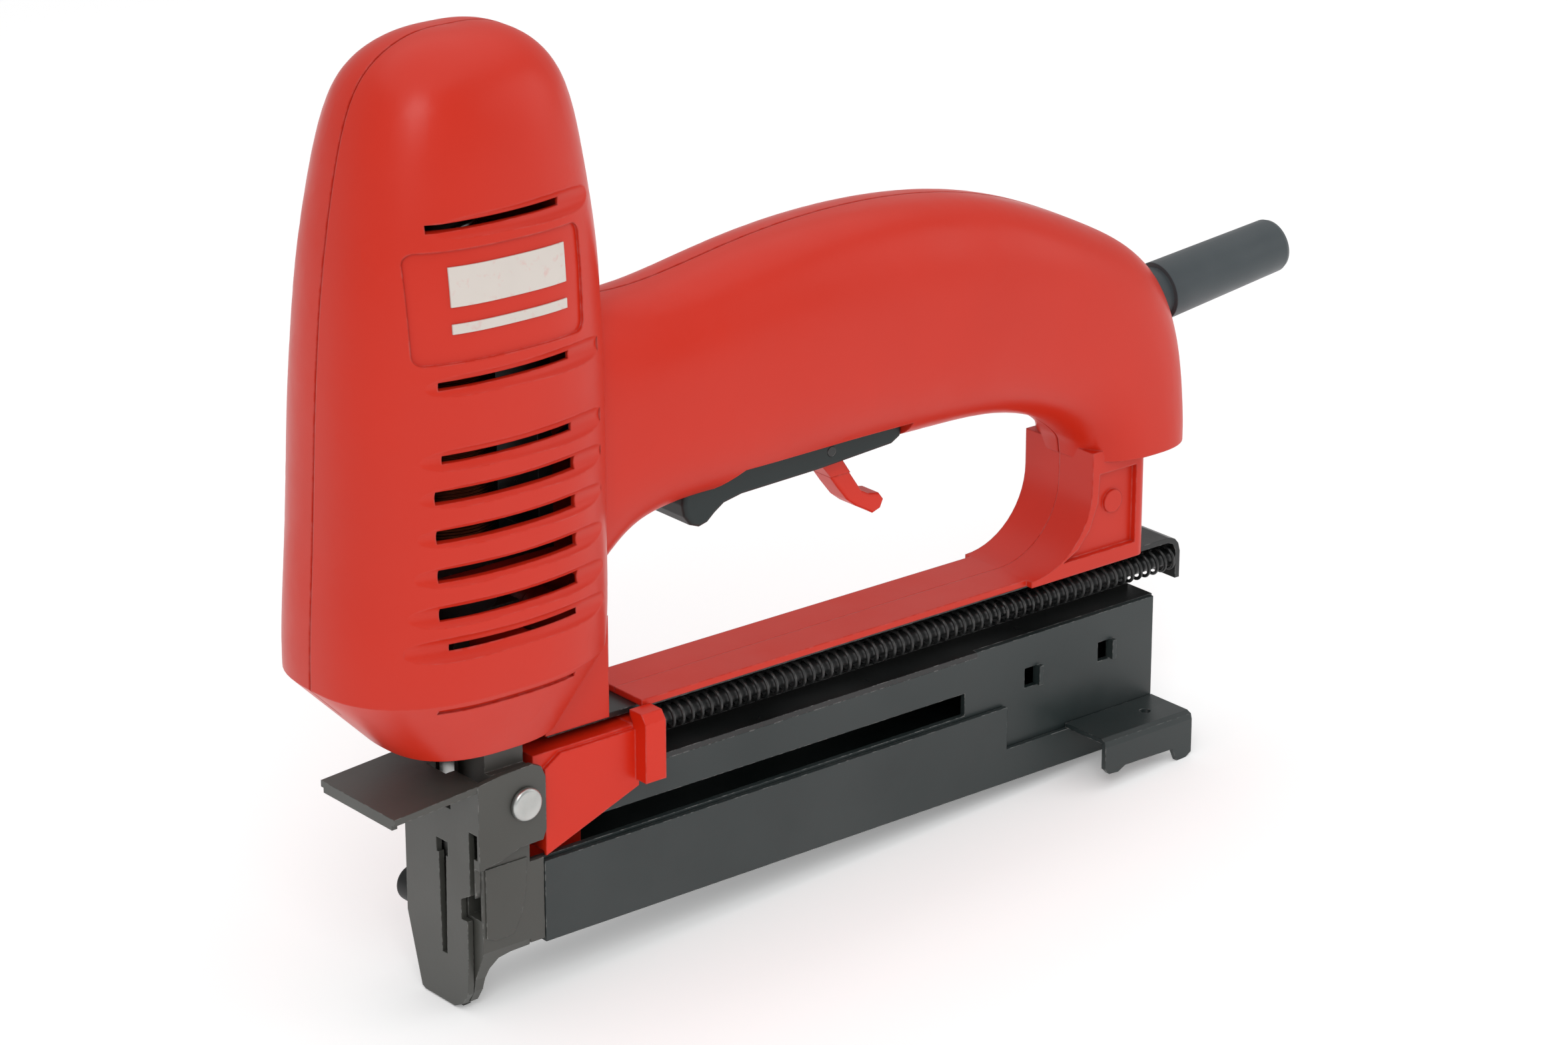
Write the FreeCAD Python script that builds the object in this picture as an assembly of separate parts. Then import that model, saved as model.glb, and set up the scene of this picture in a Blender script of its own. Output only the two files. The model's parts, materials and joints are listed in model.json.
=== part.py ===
import FreeCAD, Part
import math
import os

# Electric staple gun. Millimetres, +Z up, -X towards the nose, +X towards the cord.
# The origin is the centre of the muzzle: the work surface is z = 0 and the driver axis is x = y = 0.

V = FreeCAD.Vector

# ---- driving dimensions -------------------------------------------------------------------
WALL = 2.5              # housing wall
GAP = 0.1               # clearance round fixed fasteners
RUN = 0.05              # radial running clearance
POWER = 2.6             # how square the grip section is

HEAD_BOTTOM = 69.0
HEAD_BREAK = 88.0       # the skirt tapers in below this height
# height, centre x, half length, half width and squareness of the head
HEAD_SECTIONS = [
    (88.0, -0.2, 36.8, 28.8, 2.6),
    (115.0, 1.0, 36.5, 28.5, 2.6),
    (140.0, 1.9, 35.8, 28.0, 2.6),
    (160.0, 2.5, 35.0, 27.3, 2.6),
    (175.0, 3.0, 34.0, 26.5, 2.6),
    (192.0, 3.5, 32.0, 25.0, 2.6),
    (206.0, 3.9, 29.6, 23.0, 2.6),
    (216.0, 4.3, 27.2, 21.0, 2.6),
    (224.0, 4.6, 23.6, 17.8, 2.6),
    (229.5, 4.9, 18.0, 13.0, 2.6),
    (232.6, 5.0, 11.0, 7.6, 2.6),
    (233.6, 5.0, 3.6, 2.4, 2.6),
]
SKIRT = (3.4, 21.6, 19.0)           # centre x, half length, half width at the bottom

# centre x, centre z, heading in degrees, half height, half width of the grip
GRIP_SECTIONS = [
    (26.0, 130.9, 0.0, 34.9, 15.0),
    (38.0, 132.2, 0.0, 33.0, 15.4),
    (47.0, 135.6, 0.0, 28.7, 16.0),
    (58.0, 137.6, 0.0, 27.2, 17.0),
    (80.0, 139.6, 0.0, 28.6, 18.0),
    (108.0, 141.5, 0.0, 29.5, 18.5),
    (135.0, 140.9, -4.0, 29.2, 18.5),
    (162.0, 137.2, -11.7, 26.8, 18.3),
    (182.0, 130.2, -24.0, 24.8, 18.0),
    (196.6, 121.0, -41.0, 23.6, 17.5),
    (203.4, 109.8, -58.0, 20.2, 17.0),
    (205.6, 100.4, -77.0, 17.9, 16.7),
    (206.2, 92.6, -90.0, 17.5, 16.5),
]
GRIP_END = 92.6

LEG_X = (189.0, 208.0)
LEG_HALF = 12.5
BAR_HALF = 10.5
BAR_TOP = 66.3
BAR_BOTTOM = 64.65
LOOP_R = 20.0           # inner radius of the loop's rear lower corner

VENT_X = (-19.0, 18.5)
VENT_Z = [109.2, 118.2, 127.3, 136.3]
VENT_H = 3.1
THIN_VENTS = [(101.2, 1.5), (144.8, 1.9), (161.4, 1.9), (196.0, 1.9)]
SCOOP_R = 3.4           # round hollow along each slot
SCOOP_BEND = 84.0       # its radius in plan, which makes it fade out at both ends
SCOOP_DEPTH = 1.1
LABEL_X = (-22.0, 22.5)
LABEL_Z = (166.2, 191.0)
LABEL_DEPTH = 0.7

SCREWS = [(24.0, 196.0), (-22.0, 190.0), (60.0, 158.0), (150.0, 154.0), (197.0, 81.0),
          (26.0, 92.0), (-24.0, 98.0)]
SCREW_HEAD_Y = 9.0

NOTCH_Z = 117.6         # flat underside above the trigger
NOTCH_END = 128.9
TRIGGER_HALF = 8.8
TRIGGER_PIVOT = (123.0, 121.0)
TRIGGER_PIN_R = 2.0
LOCK_PIVOT = (107.0, 114.0)
LOCK_PIN_R = 1.25
LEVER_SPLIT = 105.0      # where the finger blade meets the hinge end

COVER_X = (-2.5, -0.95)             # nose cover front plate
EAR_Y = (13.3, 14.8)
RIVET = (10.6, 52.1)
NOSE_SCREWS = [(4.0, 80.0), (4.0, 94.0)]
BUTTON = (4.3, 20.8)                # axis of the release button
FLANGE = (-25.5, 56.4, 59.8)        # front end, its underside, top of the root

CHANNEL_Y = (10.1, 11.6)
MAG_Y = (11.9, 13.1)
MAG_X = (17.2, 161.0, 212.0)        # front, end of the tall part, rear end
MAG_Z = (14.4, 23.5, 34.9)          # underside, low side, tall side
FOOT_TOP = 24.6
RAIL_Z = (50.2, 51.6, 63.2, 64.6)
RAIL_HALF = 8.5
GROOVE = (-6.0, 58.3)               # axis of the follower rod and spring
ROD_R = 2.0
FOLLOWER_X = (17.8, 50.0)
HOOK_X = 224.0
RAIL_SCREWS = [(80.0, 5.2), (150.0, 5.2), (200.0, 5.2)]
RAIL_SCREW_TOP = 65.8

YOKE_Z = (112.0, 178.0)
STROKE = 34.0
BORE_R = 8.1
PLUNGER_R = BORE_R - RUN

CORD_D = 7.5
SLEEVE_START = V(206.0, 0.0, 126.7)
SLEEVE_TILT = math.radians(6.2)
SLEEVE_DIR = V(math.cos(SLEEVE_TILT), 0.0, math.sin(SLEEVE_TILT))
SLEEVE_LENGTH = 56.6
LEAD = (-7.0, 51.0)                 # where the lead starts and ends along the sleeve


# ---- helpers ------------------------------------------------------------------------------
def box(x0, x1, y0, y1, z0, z1):
    return Part.makeBox(x1 - x0, y1 - y0, z1 - z0, V(x0, y0, z0))


def both_sides(x0, x1, y0, y1, z0, z1):
    return [box(x0, x1, y0, y1, z0, z1), box(x0, x1, -y1, -y0, z0, z1)]


def rod(r, start, axis, length):
    return Part.makeCylinder(r, length, V(*start), V(*axis))


def rod_y(r, x, z, y0, y1):
    return rod(r, (x, y0, z), (0, 1, 0), y1 - y0)


def rod_x(r, y, z, x0, x1):
    return rod(r, (x0, y, z), (1, 0, 0), x1 - x0)


def rod_z(r, x, y, z0, z1):
    return rod(r, (x, y, z0), (0, 0, 1), z1 - z0)


def face_of(points):
    return Part.Face(Part.makePolygon(points + [points[0]]))


def plate_y(outline, y0, y1):
    """A plate with an outline given as (x, z), from y0 to y1."""
    return face_of([V(x, y0, z) for x, z in outline]).extrude(V(0, y1 - y0, 0))


def plate_x(outline, x0, x1):
    """A plate with an outline given as (y, z), from x0 to x1."""
    return face_of([V(x0, y, z) for y, z in outline]).extrude(V(x1 - x0, 0, 0))


def fuse(shapes):
    if len(shapes) == 1:
        return shapes[0]
    return shapes[0].multiFuse(shapes[1:]).removeSplitter()


def soften(shape, radius, wanted):
    """Round the edges that the test function picks."""
    edges = [e for e in shape.Edges if wanted(e)]
    return shape.makeFillet(radius, edges) if edges else shape


def along(axis_letter):
    """A test for straight edges that run along one axis."""
    index = "xyz".index(axis_letter)

    def test(edge):
        if len(edge.Vertexes) != 2 or edge.Curve.TypeId != "Part::GeomLine":
            return False
        run = edge.Vertexes[1].Point - edge.Vertexes[0].Point
        return abs(abs(run[index]) - run.Length) < 1e-6
    return test


def oval(centre, u, v, a, b, power):
    """A closed smooth curve between an ellipse and a rectangle."""
    points = []
    count = 32
    for i in range(count):
        t = 2.0 * math.pi * i / count
        c = math.cos(t)
        s = math.sin(t)
        p = a * math.copysign(abs(c) ** (2.0 / power), c)
        q = b * math.copysign(abs(s) ** (2.0 / power), s)
        points.append(centre + u * p + v * q)
    curve = Part.BSplineCurve()
    curve.interpolate(Points=points, PeriodicFlag=True)
    return Part.Wire(curve.toShape())


def spring(r, wire_r, turns, start, axis, length):
    """A round-wire compression spring from start along the axis, as half turns of round wire."""
    rise = (length - 2.0 * wire_r) / turns / 2.0
    halves = []
    for i in range(2 * turns):
        side = r if i % 2 == 0 else -r
        here = V(side, 0, wire_r + i * rise)
        across = V(-2.0 * side, 0, rise)
        turn_axis = across.cross(V(0, math.copysign(1.0, side), 0))
        disc = Part.Face(Part.Wire(Part.makeCircle(wire_r, here, V(0, 1, 0))))
        halves.append(disc.revolve(here + across * 0.5, turn_axis, 180.0))
    body = halves[0].multiFuse(halves[1:])
    body.Placement = FreeCAD.Placement(V(*start), FreeCAD.Rotation(V(0, 0, 1), V(*axis)))
    return body


def save(name, shapes):
    """Write one node: one solid, or a group of separate solids."""
    solids = shapes if isinstance(shapes, list) else [shapes]
    shape = solids[0] if len(solids) == 1 else Part.makeCompound(solids)
    shape.exportStep(os.path.join("parts", name + ".step"))
    good = all(s.isValid() for s in solids)
    print("%-22s solids %d volume %9.1f valid %s" % (name, len(shape.Solids), shape.Volume, good))


# ---- housing ------------------------------------------------------------------------------
def head_body(shrink):
    """The head with its skin moved in by shrink."""
    drop = shrink
    wires = []
    for z, xc, a, b, power in HEAD_SECTIONS:
        height = z - drop if z > 200.0 else z
        wires.append(oval(V(xc, 0, height), V(1, 0, 0), V(0, 1, 0),
                          max(a - shrink, 1.2), max(b - shrink, 0.8), power))
    upper = Part.makeLoft(wires, True, False)
    xc, a, b = SKIRT
    low = oval(V(xc, 0, HEAD_BOTTOM + drop), V(1, 0, 0), V(0, 1, 0), a - shrink, b - shrink, POWER)
    skirt = Part.makeLoft([low, wires[0]], True, True)
    return upper.fuse(skirt)


def grip_body(shrink):
    wires = []
    for x, z, heading, h, b in GRIP_SECTIONS:
        turn = math.radians(heading)
        up = V(-math.sin(turn), 0, math.cos(turn))
        lift = shrink if heading < -89.0 else 0.0
        wires.append(oval(V(x, 0, z + lift), up, V(0, 1, 0), h - shrink, b - shrink, POWER))
    return Part.makeLoft(wires, True, False)


def loop_frame():
    """The lower bar and the rear leg, with the rounded inner corner of the finger loop."""
    leg = box(LEG_X[0] - LOOP_R, LEG_X[1], -LEG_HALF, LEG_HALF, BAR_BOTTOM, GRIP_END + 3.0)
    hollow = rod_y(LOOP_R, LEG_X[0] - LOOP_R, BAR_TOP + LOOP_R, -20.0, 20.0)
    leg = leg.cut(hollow)
    leg = leg.cut(box(LEG_X[0] - LOOP_R - 1.0, LEG_X[0], -20, 20, BAR_TOP + LOOP_R, 120.0))
    leg = soften(leg, 3.0, lambda e: along("z")(e) and e.BoundBox.XMin > LEG_X[1] - 0.1)
    bar = box(48.0, LEG_X[0] - LOOP_R + 2.0, -BAR_HALF, BAR_HALF, BAR_BOTTOM, BAR_TOP)
    skirt = box(22.0, LEG_X[1] - 3.0, RAIL_HALF + 0.2, BAR_HALF, 52.5, BAR_TOP)
    root = box(20.0, 38.4, -BAR_HALF, BAR_HALF, BAR_BOTTOM, 90.0)
    return fuse([leg, bar, skirt, root])


def leg_pockets():
    """The sunk panels on both sides of the rear leg."""
    outline = [(179.5, 68.6), (204.0, 68.6), (204.0, 89.5), (191.5, 89.5), (191.0, 82.0),
               (188.4, 75.5), (184.6, 71.2)]
    depth = 1.6
    return [plate_y(outline, -LEG_HALF - 1.0, -LEG_HALF + depth),
            plate_y(outline, LEG_HALF - depth, LEG_HALF + 1.0)]


def trigger_notch():
    outline = [(64.5, 100.0), (66.0, 108.4), (70.0, 112.4), (77.0, NOTCH_Z), (NOTCH_END, NOTCH_Z),
               (NOTCH_END, 100.0)]
    return plate_y(outline, -25.0, 25.0)


def vent_cuts():
    """The air slots, cut straight through both sides of the head."""
    cuts = []
    for z in VENT_Z:
        cuts.append(box(VENT_X[0], VENT_X[1], -40, 40, z - VENT_H / 2, z + VENT_H / 2))
    for z, height in THIN_VENTS:
        cuts.append(box(VENT_X[0] + 2.0, VENT_X[1] - 0.5, -40, 40, z - height / 2, z + height / 2))
    return cuts


def half_width(height):
    """Half the width of the head at a height."""
    for low, high in zip(HEAD_SECTIONS, HEAD_SECTIONS[1:]):
        if height <= high[0]:
            share = (height - low[0]) / (high[0] - low[0])
            return low[3] + share * (high[3] - low[3])
    return 0.0


def vent_scoops():
    """The round hollows that leave a ridge between one slot and the next."""
    scoops = []
    for z in VENT_Z + [z for z, height in THIN_VENTS]:
        centre = SCOOP_BEND - (half_width(z) - SCOOP_DEPTH + SCOOP_R)
        ring = Part.makeTorus(SCOOP_BEND, SCOOP_R, V(0.5, centre, z), V(0, 0, 1))
        near = ring.common(box(-27.0, 28.0, -40.0, -15.0, z - 4.0, z + 4.0))
        scoops += [near, near.mirror(V(0, 0, 0), V(0, 1, 0))]
    return scoops


def axis_point(distance):
    return SLEEVE_START + SLEEVE_DIR * distance


def housing_ribs():
    """Shelves and saddles that carry what is inside."""
    shelves = []
    for z0, z1, r in [(109.4, YOKE_Z[0] - 0.05, 13.0), (YOKE_Z[1] + 0.05, 180.6, 13.5)]:
        slab = box(-40, 28, -40, 40, z0, z1).cut(rod_z(r, 0, 0, z0 - 1, z1 + 1))
        shelves.append(slab)
    spring_stop = box(66.0, 78.0, -30, 30, 127.4, 129.6)
    switch_shelf = [box(89.0, 107.0, 5.1, 30, 124.0, 126.2), box(89.0, 107.0, -30, -5.1, 124.0, 126.2)]
    cord_saddle = box(197.0, 207.0, -9.5, 9.5, 105.0, 121.9)
    pivot = rod_y(4.6, TRIGGER_PIVOT[0], TRIGGER_PIVOT[1], -30, 30)
    pivot = pivot.cut(box(110, 135, -8.0, 8.0, 110, 130))
    return shelves + [spring_stop, cord_saddle, pivot] + switch_shelf


def housing_shells():
    """The two half shells, parted on y = 0."""
    outer = fuse([head_body(0.0), grip_body(0.0), loop_frame()]).cut(trigger_notch())
    inner = head_body(WALL).fuse(grip_body(WALL))
    inner = inner.cut(box(58.0, 132.2, -40, 40, 90, NOTCH_Z + WALL))
    skin = outer.cut(inner)
    room = inner.common(outer)
    ribs = [r.common(room) for r in housing_ribs()]
    bosses = [rod_y(5.2, x, z, -40, 40).common(outer) for x, z in SCREWS]
    for x, z in NOSE_SCREWS:
        bosses.append(rod_y(5.2, x, z, 11.05, 40).common(outer))
        bosses.append(rod_y(5.2, x, z, -40, -11.05).common(outer))
    shell = skin.multiFuse(ribs + bosses)
    shallow = head_body(0.0).cut(head_body(LABEL_DEPTH))
    groove = box(-20.0, 17.0, -40, 40, 85.6, 86.8).common(shallow)
    panel = box(LABEL_X[0], LABEL_X[1], -40, 0, LABEL_Z[0], LABEL_Z[1])
    label = soften(panel, 2.5, along("y")).common(shallow)
    cuts = vent_scoops() + [groove, label] + vent_cuts() + leg_pockets()
    cuts.append(box(-6.5, 17.5, -13.4, 13.4, 60.0, 74.0))
    cuts.append(box(60.0, NOTCH_END, -TRIGGER_HALF - 0.4, TRIGGER_HALF + 0.4, 100.0, NOTCH_Z + WALL + 0.5))
    cuts.append(rod(6.55, tuple(axis_point(2.0)), tuple(SLEEVE_DIR), 30.0))
    cuts.append(rod_y(TRIGGER_PIN_R + GAP, TRIGGER_PIVOT[0], TRIGGER_PIVOT[1], -13.0, 13.0))
    for x, z in SCREWS:
        cuts.append(rod_y(1.5 + GAP, x, z, -8.7, 40.0))
        cuts.append(rod_y(3.6, x, z, SCREW_HEAD_Y, 40.0))
    for y in (-6.5, 6.5):
        cuts.append(rod_z(1.5 + GAP, 202.0, y, 109.0, 125.0))
    for x, z in NOSE_SCREWS:
        cuts.append(rod_y(1.5 + GAP, x, z, 10.0, 40.0))
        cuts.append(rod_y(3.6, x, z, 13.0, 40.0))
    for x, y in RAIL_SCREWS:
        cuts.append(rod_z(1.5 + GAP, x, y, 60.0, RAIL_SCREW_TOP + 0.1))
    shell = shell.cut(seam_groove())
    for cut in cuts:
        shell = shell.cut(cut)
    shell = shell.fuse(rod_y(3.0, 197.0, 81.0, -LEG_HALF + 0.8, -LEG_HALF + 1.8))
    left = shell.common(box(-60, 260, -60, 0, 40, 260))
    right = shell.common(box(-60, 260, 0, 60, 40, 260))
    return biggest(left), biggest(right)


def seam_groove():
    """A fine line round the head and the grip where the two shells meet."""
    slab = box(-60, 260, -0.3, 0.3, 80, 260)
    head = head_body(0.0).cut(head_body(0.55))
    grip = grip_body(0.0).cut(grip_body(0.55)).cut(head_body(0.0))
    return slab.common(head.fuse(grip))


def biggest(shape):
    """The one large solid, without crumbs left by the cuts."""
    return max(shape.Solids, key=lambda s: s.Volume)


def housing_screws():
    screws = []
    for x, z in SCREWS:
        shank = rod_y(1.5, x, z, -8.5, SCREW_HEAD_Y)
        head = rod_y(3.3, x, z, SCREW_HEAD_Y, SCREW_HEAD_Y + 2.2)
        slot = box(x - 2.2, x + 2.2, SCREW_HEAD_Y + 1.2, SCREW_HEAD_Y + 3, z - 0.4, z + 0.4)
        cross = box(x - 0.4, x + 0.4, SCREW_HEAD_Y + 1.2, SCREW_HEAD_Y + 3, z - 2.2, z + 2.2)
        screws.append(shank.fuse(head).cut(slot.fuse(cross)))
    return screws


def label_plates():
    """A plain blank label and a plain bar below it, bedded in the sunk panel."""
    layer = head_body(0.3).cut(head_body(LABEL_DEPTH - 0.02))
    blank = box(-13.0, 17.5, -40, 0, 178.6, 187.4).common(layer)
    bar = box(-13.0, 17.5, -40, 0, 172.6, 174.8).common(layer)
    return [biggest(blank), biggest(bar)]


# ---- trigger group ------------------------------------------------------------------------
def trigger():
    outline = [(62.6, 113.6), (62.2, 110.6), (62.8, 107.6), (64.6, 105.2), (67.2, 104.2), (69.6, 104.8),
               (71.8, 106.6), (74.6, 108.4), (80.0, 109.4), (103.0, 110.0), (126.2, 111.4), (128.4, 112.6),
               (128.4, 116.9), (78.0, 116.9), (72.0, 116.2), (66.0, 115.6)]
    blade = plate_y(outline, -TRIGGER_HALF, TRIGGER_HALF)
    blade = soften(blade, 1.2, lambda e: e.BoundBox.ZMax < 114.0 and e.BoundBox.YLength < 0.01)
    blade = blade.cut(box(80.0, 120.0, -TRIGGER_HALF + 1.8, TRIGGER_HALF - 1.8, 114.0, 118.0))
    blade = blade.cut(box(102.6, 117.5, -4.2, 4.2, 100.0, 118.0))
    ears = [box(118.0, 128.0, y, y + 2.6, 114.0, 125.0) for y in (-7.6, 5.0)]
    tab = box(92.0, 96.0, -3.0, 3.0, 112.5, 119.7)
    cheeks = [box(103.0, 111.0, y, y + 1.8, 111.5, 116.9) for y in (-6.6, 4.8)]
    body = fuse([blade] + ears + [tab] + cheeks)
    body = body.cut(rod_y(TRIGGER_PIN_R + RUN, TRIGGER_PIVOT[0], TRIGGER_PIVOT[1], -12, 12))
    return body.cut(rod_y(LOCK_PIN_R, LOCK_PIVOT[0], LOCK_PIVOT[1], -12, 12))


def lock_lever():
    """The safety lever: a hinge end inside the trigger and a finger blade slipped over its tongue."""
    x, z = LOCK_PIVOT
    hub = rod_y(2.6, x, z, -3.7, 1.4)
    outline = [(104.8, 113.0), (107.6, 109.4), (110.6, 105.6), (113.4, 101.8), (116.6, 97.8), (119.4, 95.6),
               (122.0, 94.2), (124.6, 92.6), (127.0, 93.4), (128.0, 95.6), (126.6, 97.4), (123.4, 98.0),
               (121.0, 99.4), (118.8, 102.6), (116.2, 106.4), (113.8, 110.0), (110.2, 114.4),
               (107.0, 115.6)]
    arm = plate_y(outline, -3.7, 3.7)
    arm = arm.cut(box(100, 112.6, 1.4, 5, 108.5, 120))
    arm = hub.fuse(arm).cut(rod_y(LOCK_PIN_R + RUN, x, z, -12, 12)).removeSplitter()
    tongue = plate_y([(112.9, 105.5), (114.6, 101.8), (117.0, 101.8), (115.6, 105.5)], -1.6, 1.6)
    pocket = plate_y([(112.8, 105.5), (114.5, 101.7), (117.1, 101.7), (115.7, 105.5)], -1.7, 1.7)
    above = box(90.0, 140.0, -10.0, 10.0, LEVER_SPLIT, 130.0)
    hinge = arm.common(above).fuse(tongue).removeSplitter()
    blade = arm.cut(above)
    blade = soften(blade, 0.8, lambda e: e.BoundBox.YLength < 0.01 and e.BoundBox.ZMax < LEVER_SPLIT - 1.0)
    return hinge, blade.cut(pocket)


# ---- solenoid and driver ------------------------------------------------------------------
def bobbin():
    z0, z1 = YOKE_Z[0] + 4.0, YOKE_Z[1] - 4.0
    tube = rod_z(10.0, 0, 0, z0, z1)
    flanges = [rod_z(12.9, 0, 0, z0, z0 + 2.0), rod_z(12.9, 0, 0, z1 - 2.0, z1)]
    return fuse([tube] + flanges).cut(rod_z(BORE_R, 0, 0, z0 - 1, z1 + 1))


def winding():
    z0, z1 = YOKE_Z[0] + 6.1, YOKE_Z[1] - 6.1
    return rod_z(12.7, 0, 0, z0, z1).cut(rod_z(10.05, 0, 0, z0 - 1, z1 + 1))


def yoke():
    """A rectangular steel frame round the winding."""
    z0, z1 = YOKE_Z
    frame = box(-21.5, 21.5, -13.0, 13.0, z0, z1).cut(box(-17.5, 17.5, -20, 20, z0 + 4.0, z1 - 4.0))
    return frame.cut(rod_z(BORE_R + 0.3, 0, 0, z0 - 1, z1 + 1))


def plunger():
    top = YOKE_Z[1] + 8.0 + STROKE
    body = rod_z(PLUNGER_R, 0, 0, 146.0, top)
    cap = rod_z(11.0, 0, 0, top, top + 3.0)
    slot = box(-0.62, 0.62, -3.1, 3.1, 140.0, 153.0)
    return body.fuse(cap).cut(slot).removeSplitter()


def driver_blade():
    return box(-0.55, 0.55, -3.0, 3.0, 1.5 + STROKE, 153.0)


def bumper():
    ring = rod_z(12.0, 0, 0, 100.6, 111.4).cut(rod_z(4.2, 0, 0, 90, 120))
    return soften(ring, 1.0, lambda e: e.BoundBox.ZMin > 111.0 and e.BoundBox.XLength > 20.0)


# ---- nose ---------------------------------------------------------------------------------
def nose_block():
    """The driver guide, from the muzzle up into the head."""
    side = [(-0.65, 0.0), (1.45, 0.0), (1.6, 3.0), (1.9, 7.0), (2.6, 11.0), (4.4, 13.6), (7.6, 14.4),
            (13.0, 14.6), (13.0, 100.6), (-5.5, 100.6), (-5.5, 75.0), (2.2, 66.5), (2.2, 49.5),
            (-0.65, 47.5)]
    body = plate_y(side, -12.9, 12.9)
    for sign in (-1, 1):
        taper = plate_x([(sign * 4.2, -1.0), (sign * 4.2, 0.4), (sign * 7.0, 2.2), (sign * 8.8, 5.4),
                         (sign * 9.4, 8.4), (sign * 12.9, 16.5), (sign * 13.5, 16.5), (sign * 13.5, -1.0)],
                        -3.0, 15.0)
        body = body.cut(taper)
        body = body.cut(box(-8, 15, min(sign * 11.0, sign * 14), max(sign * 11.0, sign * 14), 60.6, 110))
    cheeks = both_sides(12.9, 17.0, 11.7, 12.9, 15.4, 36.0)
    body = fuse([body] + cheeks)
    body = body.cut(box(-6.0, 0.75, -3.25, 3.25, -1.0, 101.0))
    body = body.cut(box(0.7, 14.0, -6.4, 6.4, 16.9, 36.4))
    body = body.cut(box(-0.7, 3.0, -12.3, -7.2, 24.6, 47.2))
    body = body.cut(rod_y(2.5 + GAP, RIVET[0], RIVET[1], -14, 14))
    body = body.cut(rod_x(ROD_R + GAP, GROOVE[0], GROOVE[1], 6.0, 14.0))
    for x, z in NOSE_SCREWS:
        body = body.cut(rod_y(1.5 + GAP, x, z, -9.0, 14.0))
    return body.cut(rod_y(2.0 + RUN, BUTTON[0], BUTTON[1], 6.9, 14.0))


def nose_screws():
    screws = []
    for x, z in NOSE_SCREWS:
        shank = rod_y(1.5, x, z, -8.5, 13.0)
        head = rod_y(3.3, x, z, 13.0, 15.2)
        screws.append(shank.fuse(head))
    return screws


def nose_cover():
    """The stamped front cover: front plate, two ears and the thumb flange."""
    tip, low, top = FLANGE
    front = [(-3.4, 0.3), (-6.6, 1.9), (-8.8, 5.0), (-9.2, 8.0), (-9.4, 24.2), (-12.6, 31.0),
             (-12.8, 38.6), (-EAR_Y[1], 38.6), (-EAR_Y[1], top), (EAR_Y[1], top), (EAR_Y[1], 18.6),
             (9.6, 0.8), (8.4, 0.3)]
    plate = plate_x(front, COVER_X[0], COVER_X[1])
    ear = [(COVER_X[0], 38.6), (4.0, 39.6), (9.0, 41.4), (15.6, 41.6), (16.6, 44.0), (16.6, 57.2),
           (15.4, 60.0), (12.8, 61.2), (4.0, 60.8), (COVER_X[0], top)]
    ears = [plate_y(ear, -EAR_Y[1], -EAR_Y[0]), plate_y(ear, EAR_Y[0], EAR_Y[1])]
    flange = plate_y([(tip, low), (tip, low + 1.6), (COVER_X[0], top), (COVER_X[1], top),
                      (COVER_X[1], top - 1.6), (COVER_X[0], top - 1.7)], -EAR_Y[1] + 0.2, EAR_Y[1] - 0.2)
    lip = box(tip, tip + 1.5, -13.6, 13.6, low - 1.2, low + 0.2)
    body = fuse([plate, flange, lip] + ears)
    slot = plate_x([(-1.0, 12.8), (1.0, 12.8), (1.5, 38.0), (2.3, 38.0), (2.3, 41.6), (-2.3, 41.6),
                    (-2.3, 38.0), (-1.5, 38.0)], -4.0, 0.0)
    side_slot = plate_x([(-10.7, 41.0), (-10.7, 47.2), (-14.0, 47.2), (-14.0, 41.0), (-12.6, 41.0),
                         (-12.6, 30.0), (-9.4, 24.0), (-7.0, 24.0), (-7.0, 29.0), (-10.7, 31.0)],
                        -4.0, 0.0)
    window = box(-3.6, 0.0, -3.8, 3.8, 50.5, 61.0)
    body = body.cut(slot).cut(side_slot).cut(window)
    return body.cut(rod_y(2.5 + RUN, RIVET[0], RIVET[1], -16, 16))


def nose_rivet():
    x, z = RIVET
    shank = rod_y(2.5, x, z, -15.1, 15.1)
    heads = [rod_y(4.1, x, z, -16.5, -15.1), rod_y(4.1, x, z, 15.1, 16.5)]
    body = fuse([shank] + heads)
    return soften(body, 1.0,
                  lambda e: abs(abs(e.BoundBox.YMin) - 16.5) < 0.01 and e.BoundBox.YLength < 0.01)


def release_button():
    x, z = BUTTON
    head = soften(rod_y(4.6, x, z, 15.2, 23.0), 1.0, lambda e: e.BoundBox.YMin > 22.0)
    return head.fuse(rod_y(2.0, x, z, 9.4, 15.2)).removeSplitter()


def wear_plates():
    outline = [(0.2, 20.2), (3.0, 19.0), (8.0, 19.4), (10.4, 24.0), (11.6, 30.0), (12.0, 37.6), (0.2, 37.6)]
    near = plate_y(outline, -13.2, -12.9)
    return [near]


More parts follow.
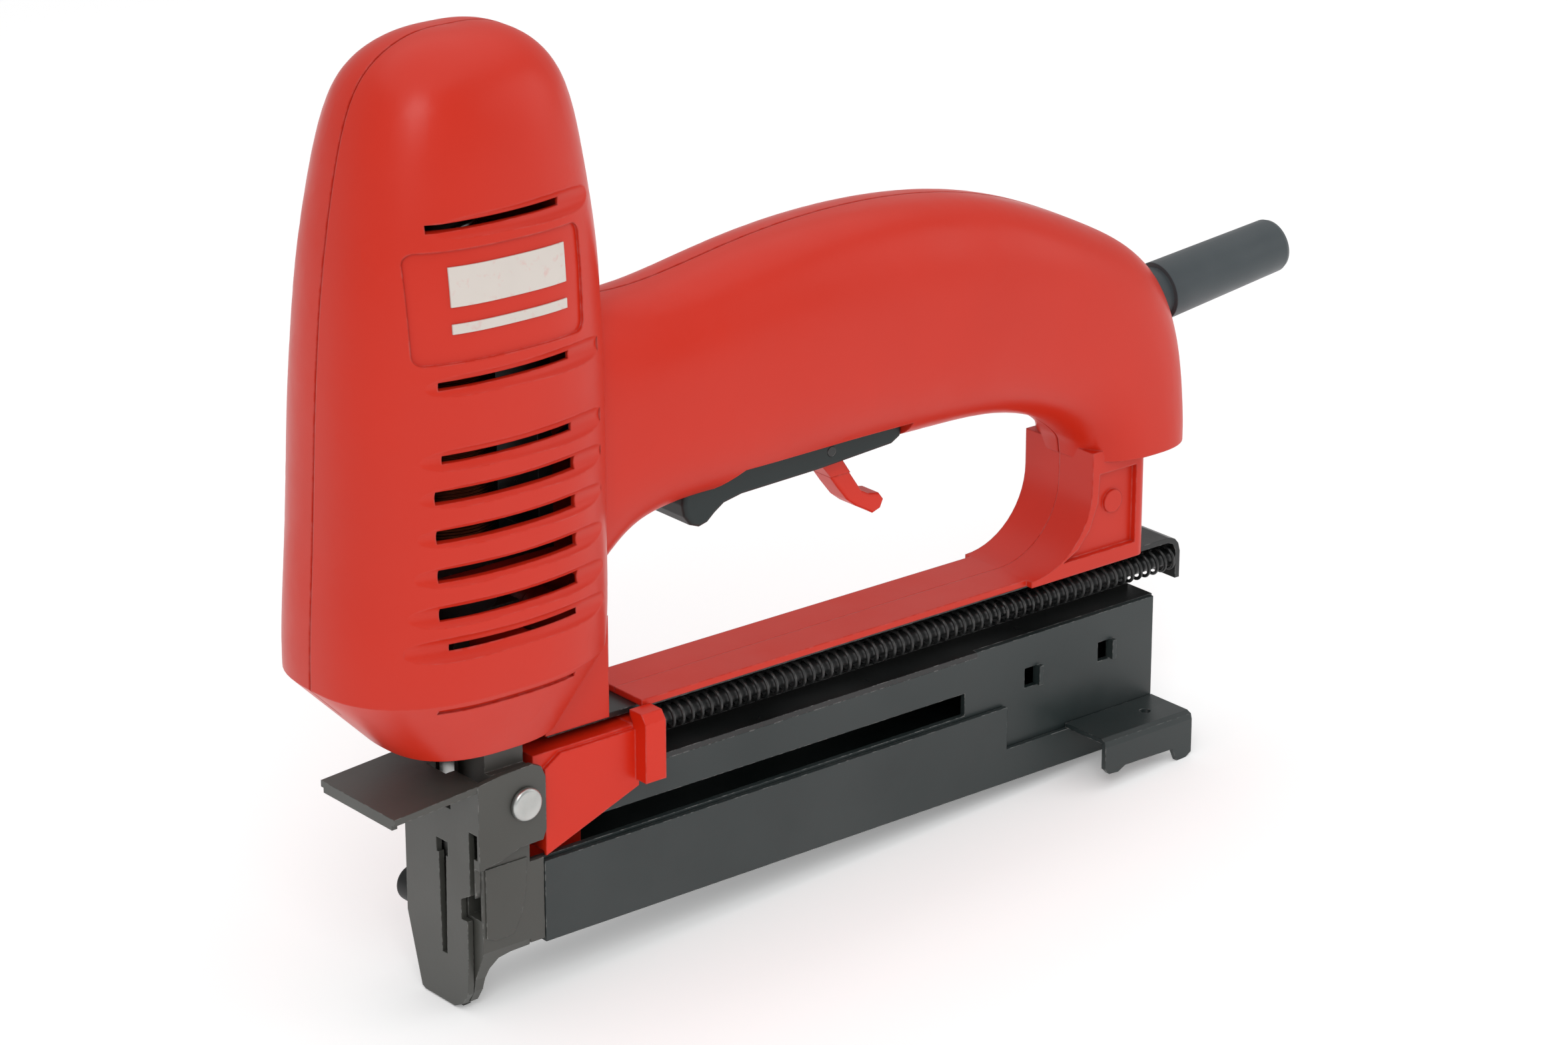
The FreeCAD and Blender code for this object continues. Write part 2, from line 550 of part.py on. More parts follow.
# ---- magazine -----------------------------------------------------------------------------
def magazine_channel():
    """The inner staple channel with the follower's window in the near wall."""
    y0, y1 = CHANNEL_Y
    base = box(13.4, MAG_X[2], -y1, y1, 15.4, 16.9)
    walls = both_sides(13.4, MAG_X[2], y0, y1, 15.4, RAIL_Z[0])
    raised = both_sides(152.0, MAG_X[2], y0, y1, 40.0, RAIL_Z[1])
    body = fuse([base] + walls + raised)
    body = body.cut(box(13.0, 148.0, -y1 - 1, -y0 + 1, 35.6, 41.6))
    for x, z in [(171.0, 40.4), (196.0, 41.0)]:
        body = body.cut(box(x - 3.0, x + 2.2, -y1 - 1, -y0 + 1, z - 2.6, z + 2.6))
    tabs = [plate_y([(x + 1.0, z - 2.6), (x + 2.3, z - 2.6), (x + 2.3, z + 2.6), (x + 1.0, z + 2.6)],
                    -y1 - 1.3, -y0 - 0.2) for x, z in [(171.0, 40.4), (196.0, 41.0)]]
    end = box(MAG_X[2] - 1.5, MAG_X[2], -y0 - 0.5, y0 + 0.5, 16.0, 49.0)
    return fuse([body, end] + tabs)


def magazine_cover():
    """The outer cover: tall at the front, low behind, with two side feet at the rear."""
    y0, y1 = MAG_Y
    low, side, tall = MAG_Z
    base = box(MAG_X[0], MAG_X[2], -y1, y1, low, low + 0.95)
    sides = both_sides(MAG_X[0], MAG_X[1], y0, y1, low, tall)
    strips = both_sides(MAG_X[1] - 1.0, MAG_X[2], y0, y1, low, side)
    feet = []
    for sign in (-1, 1):
        outline = [(sign * y0, FOOT_TOP - 1.2), (sign * y0, FOOT_TOP), (sign * 25.2, FOOT_TOP),
                   (sign * 26.6, FOOT_TOP - 0.6), (sign * 27.0, FOOT_TOP - 2.0), (sign * 27.0, 16.6),
                   (sign * 25.6, 16.6), (sign * 25.6, FOOT_TOP - 1.2)]
        wing = plate_x(outline, 182.0, MAG_X[2])
        lip = plate_y([(182.0, 17.4), (212.0, 17.4), (212.0, 13.6), (210.0, 12.4), (207.0, 12.4),
                       (205.4, 16.0), (189.0, 16.2), (186.5, 15.0), (183.4, 15.2), (182.0, 16.8)],
                      min(sign * 25.6, sign * 27.0), max(sign * 25.6, sign * 27.0))
        web = both_sides(182.0, MAG_X[2], y0, y1, low, FOOT_TOP)[0 if sign > 0 else 1]
        wing = wing.cut(rod_z(1.4, 203.0, sign * 19.0, 10, 30))
        feet.append(wing.fuse([lip, web]))
    return fuse([base] + sides + strips + feet)


def magazine_rail():
    """The top rail: bottom web, centre wall, top web and the turned-down rear hook."""
    z0, z1, z2, z3 = RAIL_Z
    low = fuse([box(14.0, 152.0, -11.6, 11.6, z0, z1), box(151.0, 213.0, -10.0, 10.0, z0, z1)])
    wall = box(14.0, 213.0, -1.0, 1.0, z1 - 0.2, z2 + 0.2)
    x = HOOK_X
    bend = [(22.0, z3), (x - 4.0, z3), (x - 1.8, z3 - 0.8), (x - 0.6, z3 - 2.2), (x, z3 - 4.4), (x, 53.0),
            (x - 1.5, 53.0), (x - 1.5, z2 - 2.6), (x - 2.6, z2 - 0.6), (x - 4.4, z2), (22.0, z2)]
    top = plate_y(bend, -RAIL_HALF, RAIL_HALF)
    web = box(212.0, x - 1.0, -1.0, 1.0, 55.0, z2 - 2.0)
    web = web.fuse(box(212.0, x - 5.0, -1.0, 1.0, z2 - 2.5, z2 + 0.2))
    body = fuse([low, wall, top, web])
    body = body.cut(rod_x(ROD_R + GAP, GROOVE[0], GROOVE[1], 215.0, 230.0))
    for x, y in RAIL_SCREWS:
        body = body.cut(rod_z(1.5 + GAP, x, y, 60.0, 70.0))
    return body


def rail_screws():
    screws = []
    for x, y in RAIL_SCREWS:
        shank = rod_z(1.5, x, y, RAIL_Z[2], RAIL_SCREW_TOP)
        head = rod_z(3.0, x, y, RAIL_Z[2] - 2.0, RAIL_Z[2])
        screws.append(shank.fuse(head).removeSplitter())
    return screws


def magazine_rivets():
    """Short rivets that join the outer cover to the channel on both sides."""
    rivets = []
    for x in (60.0, 140.0, 205.0):
        for sign in (-1, 1):
            y0, y1 = sorted((sign * (CHANNEL_Y[1] + 0.02), sign * (MAG_Y[0] - 0.02)))
            rivets.append(rod_y(2.0, x, 19.5, y0, y1))
    return rivets


def follower():
    x0, x1 = FOLLOWER_X
    face = plate_y([(x0, 36.2), (x0, 57.8), (22.4, 60.8), (45.0, 60.8), (45.0, 46.4)], -13.0, -12.0)
    lower = plate_y([(x0, 36.2), (x0, 50.6), (45.0, 49.2), (45.0, 46.4)], -13.0, -12.0)
    carriage = box(15.0, 46.0, -12.0, -3.2, 53.6, 61.6)
    fin = plate_x([(-17.0, 48.2), (-17.0, 63.0), (-15.4, 65.2), (-10.9, 65.2), (-10.9, 64.0), (-12.0, 62.0),
                   (-12.0, 48.2)], 44.0, x1)
    stop = box(44.0, x1, -12.5, -2.4, 52.3, 61.9)
    tongue = plate_y([(x0, 37.0), (x0, 40.7), (27.6, 40.7)], -12.5, -2.0)
    pusher = box(x0, 34.0, -4.5, 4.5, 17.5, 40.7)
    body = fuse([face, lower, carriage, fin, stop, tongue, pusher])
    return body.cut(rod_x(ROD_R + RUN, GROOVE[0], GROOVE[1], 10.0, 60.0))


def guide_rod():
    return rod_x(ROD_R, GROOVE[0], GROOVE[1], 7.0, HOOK_X - 0.1)


# ---- electrics ----------------------------------------------------------------------------
def circuit_board():
    return box(54.0, 98.0, 8.4, 10.0, 130.6, 150.0)


def board_parts():
    return [box(58.0, 72.0, -2.0, 8.4, 134.0, 144.0), box(76.0, 83.0, 2.0, 8.4, 133.0, 147.0),
            rod(4.0, (90.0, 8.4, 141.0), (0, -1, 0), 9.0), box(66.0, 74.0, 5.0, 8.4, 145.2, 149.0)]


def switch_body():
    body = box(88.0, 108.0, -5.0, 5.0, 123.9, 134.0)
    return body.cut(box(92.5, 95.5, -2.2, 2.2, 120.0, 128.0))


def switch_button():
    return box(92.6, 95.4, -2.1, 2.1, 120.4, 125.2)


def wires():
    """Two insulated leads from the cord end to the board and two from the board to the winding."""
    routes = [
        [(196.0, 1.6, 125.8), (180.0, 4.0, 131.0), (140.0, 6.0, 140.0), (112.0, 6.0, 144.0),
         (98.6, 9.0, 146.0)],
        [(196.0, -1.6, 125.8), (180.0, -4.0, 131.0), (140.0, -5.0, 136.0), (120.0, -3.0, 136.0),
         (109.2, 0.0, 130.0)],
        [(53.3, 9.2, 148.0), (46.0, 8.0, 150.0), (36.0, 4.0, 152.0), (28.0, 2.0, 150.0),
         (23.0, 0.0, 146.0)],
        [(53.3, 9.2, 134.0), (46.0, 8.0, 132.0), (36.0, 4.0, 130.0), (28.0, 2.0, 128.0),
         (23.0, 0.0, 126.0)],
    ]
    return [tube([V(*p) for p in route], 1.1) for route in routes]


def tube(points, radius):
    """A round tube along straight runs joined by tangent arcs."""
    edges = []
    here = points[0]
    for i in range(1, len(points) - 1):
        before = points[i] - points[i - 1]
        after = points[i + 1] - points[i]
        turn = before.getAngle(after)
        arc_r = 0.45 * min(before.Length, after.Length) / math.tan(turn / 2.0)
        back = arc_r * math.tan(turn / 2.0)
        u = before.normalize()
        w = after.normalize()
        first = points[i] - u * back
        last = points[i] + w * back
        inward = (w - u).normalize()
        middle = points[i] + inward * (arc_r / math.cos(turn / 2.0) - arc_r)
        edges.append(Part.LineSegment(here, first).toShape())
        edges.append(Part.Arc(first, middle, last).toShape())
        here = last
    edges.append(Part.LineSegment(here, points[-1]).toShape())
    path = Part.Wire(edges)
    start = (points[1] - points[0]).normalize()
    section = Part.Wire(Part.makeCircle(radius, points[0], start))
    body = path.makePipeShell([section], True, False)
    print("   tube length %.1f volume ratio %.4f" % (
        path.Length, body.Volume / (math.pi * radius ** 2 * path.Length)))
    return body


# ---- mains lead entry ---------------------------------------------------------------------
def cord_sleeve():
    """A flexible sleeve that tapers slightly away from the grip."""
    bore = CORD_D / 2.0 + GAP
    profile = [(2.0, bore), (2.0, 7.6), (4.4, 7.6), (4.4, 6.4), (15.4, 6.4), (15.4, 7.6),
               (SLEEVE_LENGTH - 1.6, 7.0), (SLEEVE_LENGTH - 0.6, 6.6), (SLEEVE_LENGTH, 5.6),
               (SLEEVE_LENGTH, bore)]
    side = V(-SLEEVE_DIR.z, 0, SLEEVE_DIR.x)
    points = [SLEEVE_START + SLEEVE_DIR * s + side * r for s, r in profile]
    return face_of(points).revolve(SLEEVE_START, SLEEVE_DIR, 360)


def cord_clamp():
    bar = box(198.0, 206.0, -9.0, 9.0, 130.7, 134.0)
    for y in (-6.5, 6.5):
        bar = bar.cut(rod_z(1.5 + GAP, 202.0, y, 120, 140))
    return bar


def clamp_screws():
    screws = []
    for y in (-6.5, 6.5):
        screws.append(fuse([rod_z(1.5, 202.0, y, 110.0, 134.0), rod_z(2.7, 202.0, y, 134.0, 135.8)]))
    return screws


def lead_end():
    """The end of the mains lead, from the clamp to just inside the sleeve's mouth."""
    return rod(CORD_D / 2.0, tuple(axis_point(LEAD[0])), tuple(SLEEVE_DIR), LEAD[1] - LEAD[0])


def main():
    os.makedirs("parts", exist_ok=True)
    left, right = housing_shells()
    save("housing_left", left)
    save("housing_right", right)
    save("housing_screws", housing_screws())
    save("label_blank", label_plates())
    save("trigger", trigger())
    x, z = TRIGGER_PIVOT
    save("trigger_pin", rod_y(TRIGGER_PIN_R, x, z, -12.8, 12.8))
    save("trigger_spring", spring(2.8, 0.4, 5, (72.0, 0, 116.6), (0, 0, 1), 10.7))
    hinge, blade = lock_lever()
    save("lock_hub", hinge)
    save("lock_lever", blade)
    x, z = LOCK_PIVOT
    save("lock_pin", rod_y(LOCK_PIN_R, x, z, -TRIGGER_HALF - 0.1, TRIGGER_HALF + 0.1))
    save("lock_spring", spring(1.75, 0.3, 4, (x, 1.5, z), (0, 1, 0), 2.6))
    save("switch_body", switch_body())
    save("switch_button", switch_button())
    save("solenoid_bobbin", bobbin())
    save("solenoid_winding", winding())
    save("solenoid_yoke", yoke())
    save("plunger", plunger())
    save("plunger_spring", spring(9.4, 0.6, 6, (0, 0, YOKE_Z[1]), (0, 0, 1), 8.0 + STROKE - 0.3))
    save("driver_blade", driver_blade())
    save("bumper", bumper())
    save("nose_block", nose_block())
    save("nose_screws", nose_screws())
    save("nose_cover", nose_cover())
    save("nose_rivet", nose_rivet())
    save("release_button", release_button())
    save("wear_plate", wear_plates())
    save("magazine_channel", magazine_channel())
    save("magazine_cover", magazine_cover())
    save("magazine_rail", magazine_rail())
    save("magazine_rivets", magazine_rivets())
    save("rail_screws", rail_screws())
    save("follower", follower())
    save("follower_rod", guide_rod())
    save("follower_spring", spring(3.1, 0.45, 60, (FOLLOWER_X[1] + 0.3, GROOVE[0], GROOVE[1]), (1, 0, 0),
                                   HOOK_X - 1.5 - FOLLOWER_X[1] - 0.4))
    save("circuit_board", circuit_board())
    save("board_parts", board_parts())
    save("wires", wires())
    save("cord_sleeve", cord_sleeve())
    save("cord_clamp", cord_clamp())
    save("clamp_screws", clamp_screws())
    save("lead_end", lead_end())


main()
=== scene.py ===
import json
import math

import bpy
from mathutils import Matrix, Vector


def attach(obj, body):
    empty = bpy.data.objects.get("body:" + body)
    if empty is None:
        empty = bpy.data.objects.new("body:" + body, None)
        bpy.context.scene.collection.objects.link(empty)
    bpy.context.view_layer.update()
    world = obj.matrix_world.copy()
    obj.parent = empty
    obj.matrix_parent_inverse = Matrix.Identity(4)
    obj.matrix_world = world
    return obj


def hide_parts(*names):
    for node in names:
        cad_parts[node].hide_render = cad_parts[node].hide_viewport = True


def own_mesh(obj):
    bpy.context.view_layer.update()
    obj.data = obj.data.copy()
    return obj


# Looks of the electric staple gun. Metres, in the CAD frame: -X is the nose, +X the rear, +Z up.

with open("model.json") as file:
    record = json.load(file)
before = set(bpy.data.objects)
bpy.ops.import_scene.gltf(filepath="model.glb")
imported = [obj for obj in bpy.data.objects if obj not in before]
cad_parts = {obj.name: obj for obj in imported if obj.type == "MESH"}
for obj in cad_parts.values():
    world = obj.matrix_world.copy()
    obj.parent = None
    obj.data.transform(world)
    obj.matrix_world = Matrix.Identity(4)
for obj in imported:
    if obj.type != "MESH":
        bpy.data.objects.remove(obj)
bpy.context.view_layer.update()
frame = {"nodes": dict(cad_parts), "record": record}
nodes = frame["nodes"]

# ---- colours (linear) ---------------------------------------------------------------------
HOUSING_RED = (0.60, 0.024, 0.008)
FOLLOWER_RED = (0.66, 0.022, 0.005)
SLATE = (0.014, 0.022, 0.022)
NOSE_GREY = (0.052, 0.053, 0.046)
BLACK = (0.006, 0.007, 0.007)
SLEEVE_GREY = (0.034, 0.046, 0.052)
STEEL = (0.42, 0.42, 0.41)
ZINC = (0.60, 0.62, 0.60)
LABEL_GREY = (0.66, 0.60, 0.55)
COPPER = (0.16, 0.055, 0.025)
GREEN = (0.02, 0.11, 0.05)
BLUE = (0.04, 0.10, 0.32)

WORLD_STRENGTH = 0.52

CAMERA_PLACE = (-0.5636, -0.8074, 0.4900)
CAMERA_RIGHT = (0.7727, -0.6347, 0.0)
CAMERA_BACK = (-0.5937, -0.7229, 0.3535)
CAMERA_LENS = 107.1
MIDDLE = (0.09, 0.0, 0.12)  # what the lights point at
FLOOR_GLOW = 0.22           # keeps the paper near white in the shade

COIL_STEPS = 28             # rings in one turn of a spring
COIL_SIDES = 8

FOOT_HEIGHT = 0.0124        # how far the rear feet are above the tip of the nose
FOOT_X = 0.2085


# ---- shader building ----------------------------------------------------------------------
class Shader:
    """A node-based material with a few short ways to add detail."""

    def __init__(self, name, color, roughness, metallic=0.0):
        self.material = bpy.data.materials.new(name)
        self.material.use_nodes = True
        self.material.diffuse_color = (*color, 1.0)
        self.tree = self.material.node_tree
        self.bsdf = self.tree.nodes["Principled BSDF"]
        self.bsdf.inputs["Metallic"].default_value = metallic
        self.bsdf.inputs["Base Color"].default_value = (*color, 1.0)
        self.bsdf.inputs["Roughness"].default_value = roughness
        self.color = color
        self.roughness = roughness
        self.place = self.add("ShaderNodeTexCoord").outputs["Object"]
        self.normal = None

    def add(self, kind, **settings):
        node = self.tree.nodes.new(kind)
        for key, value in settings.items():
            setattr(node, key, value)
        return node

    def link(self, source, target):
        self.tree.links.new(source, target)

    def noise(self, scale, detail=3.0, stretch=(1.0, 1.0, 1.0)):
        mapping = self.add("ShaderNodeMapping")
        mapping.inputs["Scale"].default_value = stretch
        self.link(self.place, mapping.inputs["Vector"])
        texture = self.add("ShaderNodeTexNoise")
        texture.inputs["Scale"].default_value = scale
        texture.inputs["Detail"].default_value = detail
        self.link(mapping.outputs["Vector"], texture.inputs["Vector"])
        return texture.outputs["Fac"]

    def spread(self, value, low, high, start=0.3, end=0.7):
        """Map the range from start to end of a value to the range from low to high."""
        span = self.add("ShaderNodeMapRange")
        span.inputs["From Min"].default_value = start
        span.inputs["From Max"].default_value = end
        span.inputs["To Min"].default_value = low
        span.inputs["To Max"].default_value = high
        self.link(value, span.inputs["Value"])
        return span.outputs["Result"]

    def tint(self, value, other):
        """Blend the colour towards another colour where the value is high."""
        mix = self.add("ShaderNodeMix", data_type="RGBA")
        socket = self.bsdf.inputs["Base Color"]
        if socket.is_linked:
            self.link(socket.links[0].from_socket, mix.inputs["A"])
        else:
            mix.inputs["A"].default_value = (*self.color, 1.0)
        mix.inputs["B"].default_value = (*other, 1.0)
        self.link(value, mix.inputs["Factor"])
        self.link(mix.outputs["Result"], socket)

    def rough(self, value, change):
        self.link(self.spread(value, self.roughness - change, self.roughness + change),
                  self.bsdf.inputs["Roughness"])

    def bump(self, value, depth, strength=1.0):
        """Raise the surface by the value times depth, in metres."""
        bump = self.add("ShaderNodeBump")
        bump.inputs["Strength"].default_value = strength
        bump.inputs["Distance"].default_value = depth
        self.link(value, bump.inputs["Height"])
        if self.normal is not None:
            self.link(self.normal, bump.inputs["Normal"])
        self.normal = bump.outputs["Normal"]
        self.link(self.normal, self.bsdf.inputs["Normal"])

    def round_edges(self, radius):
        """Soften every sharp edge a little, as moulded and pressed parts have them."""
        bevel = self.add("ShaderNodeBevel", samples=6)
        bevel.inputs["Radius"].default_value = radius
        self.normal = bevel.outputs["Normal"]
        self.link(self.normal, self.bsdf.inputs["Normal"])

    def edge(self, radius):
        """A mask that is 1 along sharp edges."""
        bevel = self.add("ShaderNodeBevel", samples=6)
        bevel.inputs["Radius"].default_value = radius
        surface = self.add("ShaderNodeNewGeometry")
        dot = self.add("ShaderNodeVectorMath", operation="DOT_PRODUCT")
        self.link(bevel.outputs["Normal"], dot.inputs[0])
        self.link(surface.outputs["Normal"], dot.inputs[1])
        return self.spread(dot.outputs["Value"], 1.0, 0.0, 0.80, 0.99)


def times(shader, a, b):
    product = shader.add("ShaderNodeMath", operation="MULTIPLY")
    shader.link(a, product.inputs[0])
    shader.link(b, product.inputs[1])
    return product.outputs["Value"]


def lighter(color, amount):
    return tuple(c + (1.0 - c) * amount for c in color)


def darker(color, amount):
    return tuple(c * (1.0 - amount) for c in color)


# ---- materials ----------------------------------------------------------------------------
def moulded(name, color, roughness, grain=0.000012):
    """Injection moulded plastic: fine spark texture, faint sink marks, rubbed edges, handling gloss."""
    s = Shader(name, color, roughness)
    s.bsdf.inputs["IOR"].default_value = 1.49
    s.bsdf.inputs["Specular IOR Level"].default_value = 0.34
    s.round_edges(0.0006)
    s.bump(s.noise(55.0, 2.0), 0.00012, 0.6)
    s.bump(s.noise(2600.0, 3.0), grain, 0.8)
    s.rough(s.noise(38.0, 4.0), 0.07)
    s.tint(s.spread(s.noise(24.0, 3.0), 0.0, 0.35), darker(color, 0.16))
    rubbed = times(s, s.edge(0.0007), s.spread(s.noise(420.0, 4.0), 0.0, 0.5, 0.40, 0.70))
    s.tint(rubbed, lighter(color, 0.16))
    return s.material


def painted(name, color, roughness):
    """Satin coated sheet steel: orange peel, drawn marks and bare metal showing at rubbed edges."""
    s = Shader(name, color, roughness)
    s.bsdf.inputs["Specular IOR Level"].default_value = 0.5
    s.round_edges(0.0003)
    s.bump(s.noise(900.0, 3.0), 0.00002, 0.7)
    s.bump(s.noise(70.0, 2.0), 0.00008, 0.4)
    s.rough(s.noise(60.0, 5.0), 0.09)
    s.tint(s.spread(s.noise(30.0, 4.0), 0.0, 0.5), lighter(color, 0.035))
    worn = times(s, s.edge(0.0004), s.spread(s.noise(650.0, 5.0), 0.0, 0.8, 0.48, 0.62))
    s.tint(worn, (0.26, 0.26, 0.25))
    return s.material


def bare_steel(name, color, roughness):
    """Machined or drawn steel with fine lines and darker, oiled patches."""
    s = Shader(name, color, roughness, metallic=1.0)
    s.round_edges(0.0002)
    s.bump(s.noise(700.0, 2.0, (1.0, 1.0, 14.0)), 0.000006, 0.6)
    s.rough(s.noise(180.0, 4.0), 0.10)
    s.tint(s.spread(s.noise(90.0, 4.0), 0.0, 0.6), darker(color, 0.35))
    return s.material


def soft_rubber(name, color, roughness):
    """Matt elastomer with a dusty bloom and a fine skin."""
    s = Shader(name, color, roughness)
    s.bsdf.inputs["Specular IOR Level"].default_value = 0.35
    s.bsdf.inputs["Sheen Weight"].default_value = 0.15
    s.bsdf.inputs["Sheen Roughness"].default_value = 0.5
    s.round_edges(0.0005)
    s.bump(s.noise(1900.0, 3.0), 0.00002, 0.7)
    s.bump(s.noise(90.0, 2.0), 0.00010, 0.5)
    s.rough(s.noise(50.0, 4.0), 0.08)
    s.tint(s.spread(s.noise(36.0, 4.0), 0.0, 0.5), lighter(color, 0.04))
    return s.material


def printed_label(name, color):
    """A blank printed panel: thin ink with slight wear, no lettering."""
    s = Shader(name, color, 0.42)
    s.round_edges(0.0002)
    s.bump(s.noise(1500.0, 3.0), 0.00001, 0.5)
    s.rough(s.noise(120.0, 4.0), 0.08)
    s.tint(s.spread(s.noise(480.0, 5.0), 0.0, 0.5, 0.58, 0.75), lighter(HOUSING_RED, 0.25))
    s.tint(s.spread(s.noise(60.0, 3.0), 0.0, 0.3), darker(color, 0.2))
    return s.material


def wound_copper(name):
    """Enamelled wire laid in layers round the vertical axis."""
    s = Shader(name, COPPER, 0.35, metallic=1.0)
    wave = s.add("ShaderNodeTexWave", wave_type="BANDS", bands_direction="Z")
    wave.inputs["Scale"].default_value = 420.0
    s.link(s.place, wave.inputs["Vector"])
    s.bump(wave.outputs["Fac"], 0.0003, 0.9)
    s.tint(s.spread(s.noise(200.0, 3.0), 0.0, 0.5), darker(COPPER, 0.4))
    return s.material


def lacquered_board(name):
    """Green solder resist over copper tracks."""
    s = Shader(name, GREEN, 0.3)
    tracks = s.add("ShaderNodeTexBrick")
    tracks.inputs["Scale"].default_value = 160.0
    tracks.inputs["Color1"].default_value = (1, 1, 1, 1)
    tracks.inputs["Color2"].default_value = (0, 0, 0, 1)
    s.link(s.place, tracks.inputs["Vector"])
    s.bump(tracks.outputs["Fac"], 0.00005, 0.6)
    s.tint(s.spread(tracks.outputs["Fac"], 0.0, 0.5, 0.0, 1.0), lighter(GREEN, 0.12))
    return s.material


def make_materials():
    return {
        "housing": moulded("housing_plastic", HOUSING_RED, 0.36),
        "red_plastic": moulded("follower_plastic", FOLLOWER_RED, 0.34),
        "dark_plastic": moulded("trigger_plastic", SLATE, 0.44, 0.00002),
        "black_plastic": moulded("black_plastic", BLACK, 0.45),
        "label": printed_label("blank_label", LABEL_GREY),
        "dark_rubber": soft_rubber("sleeve_rubber", SLEEVE_GREY, 0.50),
        "rubber": soft_rubber("bumper_rubber", BLACK, 0.7),
        "steel": bare_steel("bright_steel", STEEL, 0.30),
        "rivet": bare_steel("zinc_plate", ZINC, 0.38),
        "cast_nose": painted("nose_casting", NOSE_GREY, 0.42),
        "nose_steel": painted("nose_sheet", NOSE_GREY, 0.40),
        "magazine": painted("magazine_sheet", SLATE, 0.40),
        "black_steel": painted("blackened_steel", BLACK, 0.34),
        "copper": wound_copper("winding_copper"),
        "board": lacquered_board("board_resist"),
        "wire": moulded("wire_insulation", BLUE, 0.4),
    }


def smooth(obj, angle):
    """Shade smooth, except across edges sharper than the angle."""
    mesh = obj.data
    mesh.polygons.foreach_set("use_smooth", [True] * len(mesh.polygons))
    mesh.set_sharp_from_angle(angle=math.radians(angle))


def dress_nodes(materials):
    """Give every CAD node its procedural material and smooth shading."""
    slot_of = {}
    for entry in frame["record"]["subparts"]:
        slot_of[entry["node"]] = entry["material_slot"]
    for name, obj in nodes.items():
        obj.data.materials.clear()
        obj.data.materials.append(materials[slot_of[name]])
        smooth(obj, 24.0)


# ---- springs ------------------------------------------------------------------------------
def coil_mesh(name, radius, wire, turns, length):
    """A round-wire helix along +Z from z = 0, with closed ends."""
    count = turns * COIL_STEPS + 1
    rise = (length - 2.0 * wire) / (turns * COIL_STEPS)
    verts = []
    for i in range(count):
        angle = 2.0 * math.pi * i / COIL_STEPS
        out = Vector((math.cos(angle), math.sin(angle), 0.0))
        run = Vector((-math.sin(angle), math.cos(angle), rise * COIL_STEPS / (2.0 * math.pi * radius)))
        side = run.normalized().cross(out)
        centre = out * radius + Vector((0.0, 0.0, wire + rise * i))
        for k in range(COIL_SIDES):
            turn = 2.0 * math.pi * k / COIL_SIDES
            verts.append(centre + (out * math.cos(turn) + side * math.sin(turn)) * wire)
    faces = [tuple(range(COIL_SIDES)), tuple(reversed(range((count - 1) * COIL_SIDES, count * COIL_SIDES)))]
    for i in range(count - 1):
        for k in range(COIL_SIDES):
            a = i * COIL_SIDES + k
            b = i * COIL_SIDES + (k + 1) % COIL_SIDES
            faces.append((b, a, a + COIL_SIDES, b + COIL_SIDES))
    mesh = bpy.data.meshes.new(name)
    mesh.from_pydata(verts, [], faces)
    mesh.update()
    return mesh


def make_spring(node, slot, materials, radius, wire, turns, start, axis, length):
    """A wound spring in place of the CAD spring, parented to the body."""
    mesh = coil_mesh(node + "_coil", radius, wire, turns, length)
    turn = Vector((0.0, 0.0, 1.0)).rotation_difference(Vector(axis)).to_matrix().to_4x4()
    mesh.transform(Matrix.Translation(start) @ turn)
    piece = bpy.data.objects.new(node + "_coil", mesh)
    bpy.context.scene.collection.objects.link(piece)
    mesh.materials.append(materials[slot])
    smooth(piece, 40.0)
    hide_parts(node)
    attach(piece, "body")
    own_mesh(piece)


def make_springs(materials):
    make_spring("follower_spring", "black_steel", materials, 0.0031, 0.00045, 60, (0.0503, -0.006, 0.0583),
                (1, 0, 0), 0.1721)
    make_spring("plunger_spring", "steel", materials, 0.0094, 0.0006, 6, (0.0, 0.0, 0.178),
                (0, 0, 1), 0.0417)
    make_spring("trigger_spring", "steel", materials, 0.0028, 0.0004, 5, (0.072, 0.0, 0.1166),
                (0, 0, 1), 0.0107)


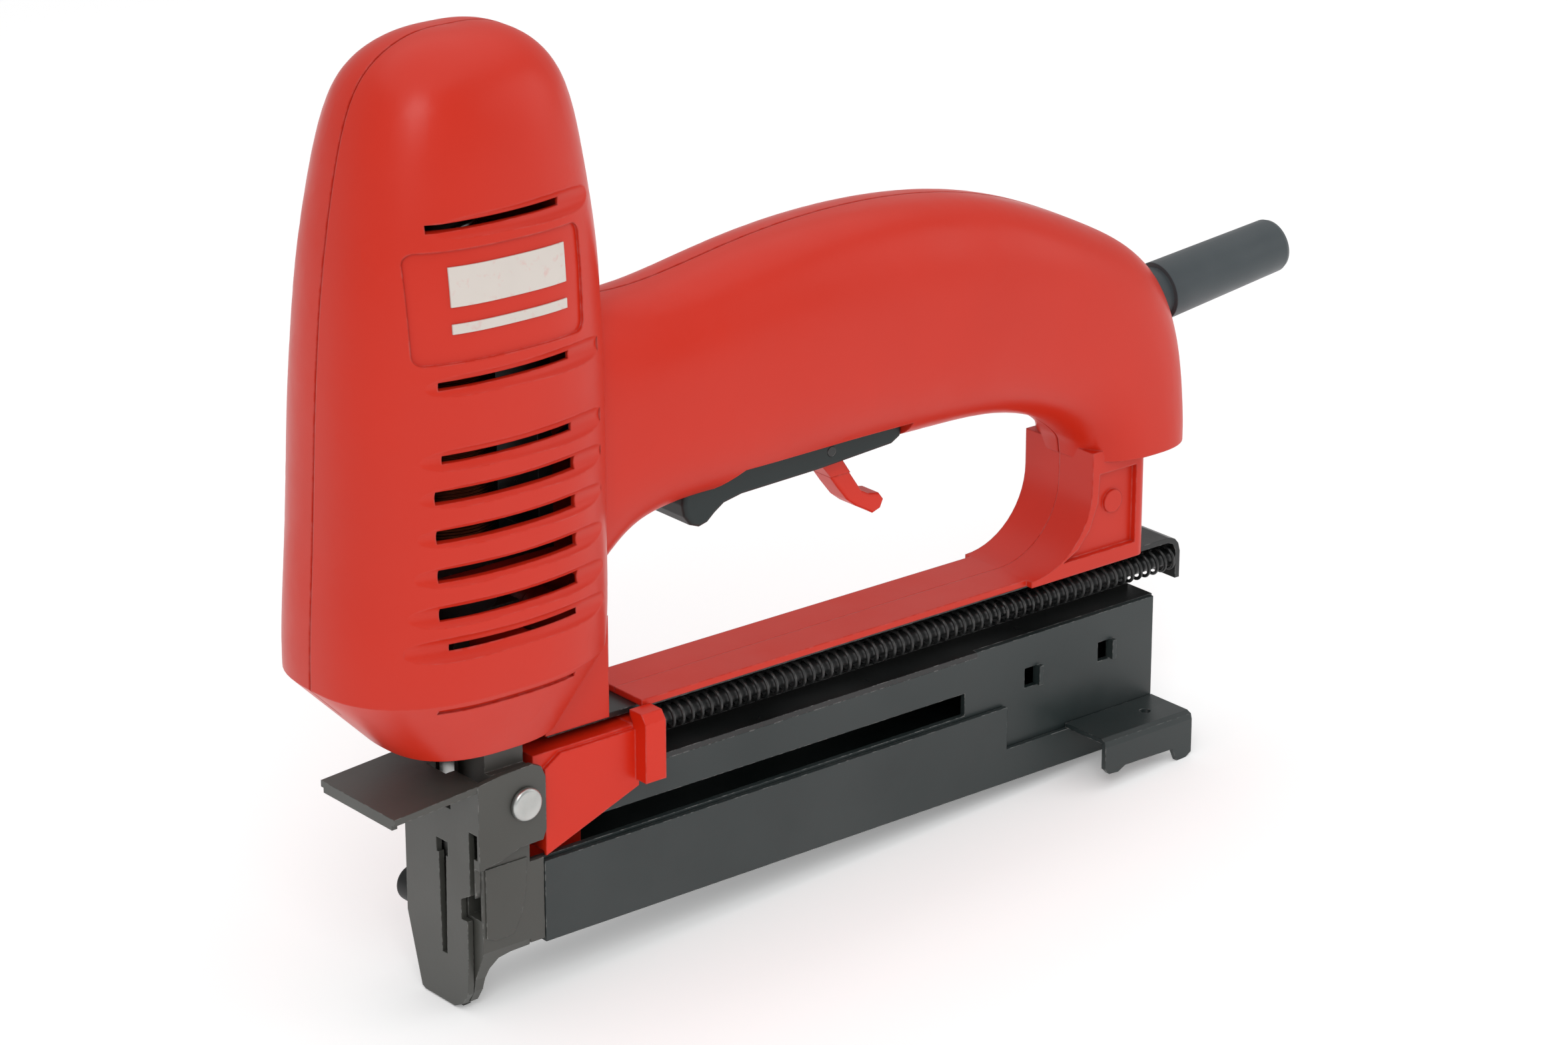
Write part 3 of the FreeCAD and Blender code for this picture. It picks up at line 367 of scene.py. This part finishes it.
# ---- studio -------------------------------------------------------------------------------
def make_camera():
    data = bpy.data.cameras.new("camera")
    data.lens = CAMERA_LENS
    data.sensor_width = 36.0
    data.clip_start = 0.05
    camera = bpy.data.objects.new("camera", data)
    right = Vector(CAMERA_RIGHT).normalized()
    back = Vector(CAMERA_BACK).normalized()
    up = back.cross(right).normalized()
    turn = Matrix((right, up, back)).transposed().to_4x4()
    camera.matrix_world = Matrix.Translation(CAMERA_PLACE) @ turn
    bpy.context.scene.collection.objects.link(camera)
    bpy.context.scene.camera = camera


def make_floor():
    """A pale floor under the tip of the nose and the rear feet."""
    bpy.ops.mesh.primitive_plane_add(size=12.0, location=(0.0, 0.0, 0.0))
    floor = bpy.context.object
    floor.name = "floor"
    floor.rotation_euler = (0.0, -math.atan2(FOOT_HEIGHT, FOOT_X), 0.0)
    s = Shader("floor_paper", (0.93, 0.93, 0.93), 0.9)
    s.bsdf.inputs["Specular IOR Level"].default_value = 0.1
    s.bsdf.inputs["Emission Color"].default_value = (1.0, 1.0, 1.0, 1.0)
    s.bsdf.inputs["Emission Strength"].default_value = FLOOR_GLOW
    s.tint(s.spread(s.noise(3.0, 2.0), 0.0, 0.2), (0.90, 0.90, 0.90))
    floor.data.materials.append(s.material)


def area_light(name, place, target, size, power):
    data = bpy.data.lights.new(name, "AREA")
    data.shape = "DISK"
    data.size = size
    data.energy = power
    light = bpy.data.objects.new(name, data)
    direction = Vector(place) - Vector(target)
    light.rotation_euler = direction.to_track_quat("Z", "Y").to_euler()
    light.location = place
    bpy.context.scene.collection.objects.link(light)


def make_lights():
    world = bpy.data.worlds.new("studio")
    world.use_nodes = True
    sky = world.node_tree.nodes["Background"]
    sky.inputs["Color"].default_value = (1.0, 1.0, 1.0, 1.0)
    sky.inputs["Strength"].default_value = WORLD_STRENGTH
    bpy.context.scene.world = world
    area_light("top", (0.1, 0.1, 1.8), MIDDLE, 3.0, 15.0)
    area_light("key", (-0.75, -1.0, 1.1), MIDDLE, 0.8, 7.0)
    area_light("fill", (1.3, -0.9, 0.7), MIDDLE, 1.0, 2.5)


def main():
    materials = make_materials()
    dress_nodes(materials)
    make_springs(materials)
    make_camera()
    make_floor()
    make_lights()
    bpy.context.scene.view_settings.view_transform = "Standard"


main()
